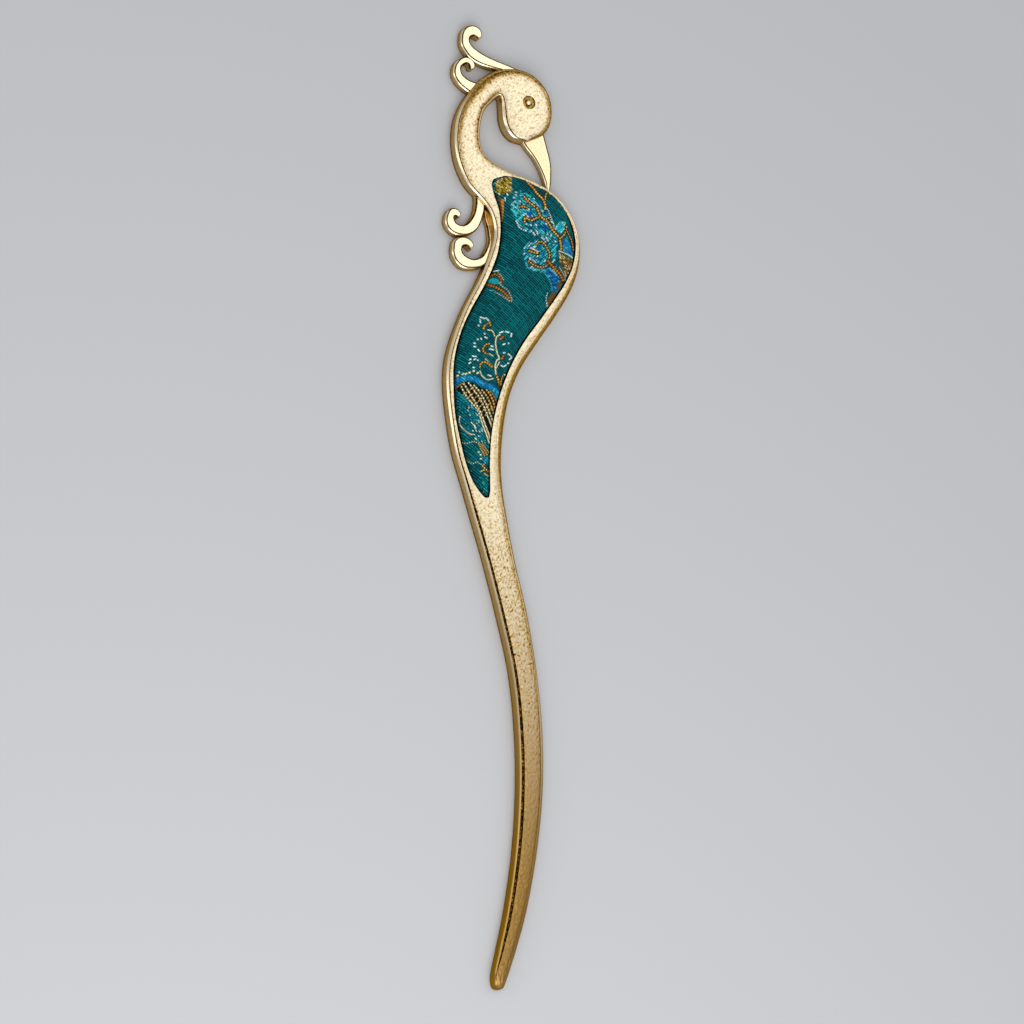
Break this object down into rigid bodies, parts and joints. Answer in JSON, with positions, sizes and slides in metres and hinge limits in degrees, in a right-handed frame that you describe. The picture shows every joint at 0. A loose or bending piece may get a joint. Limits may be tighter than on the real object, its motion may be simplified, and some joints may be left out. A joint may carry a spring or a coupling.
{
  "type": "hair stick",
  "caption": "Curved flat hair stick in cast metal with a crested bird's head, scrolled side curls and a padded brocade panel.",
  "frame": {"origin": "centre of the flat back's bounding box, on the surface that the stick lies on", "axes": "+Z is the front, away from the surface; +Y runs up the stick from the tip to the crest; the beak is on the +X side of the neck"},
  "size_m": [0.0274, 0.18, 0.0044],
  "materials": {
    "gold_plated_casting": "gold plated zinc alloy, antiqued, with a fine sand texture on the front and smooth rounded edges",
    "brocade": "padded teal twill brocade with gold, rust, blue and cream threads"
  },
  "bodies": {
    "root": {"cast_stick": "gold_plated_casting", "brocade_panel": "brocade"}
  },
  "joints": []
}
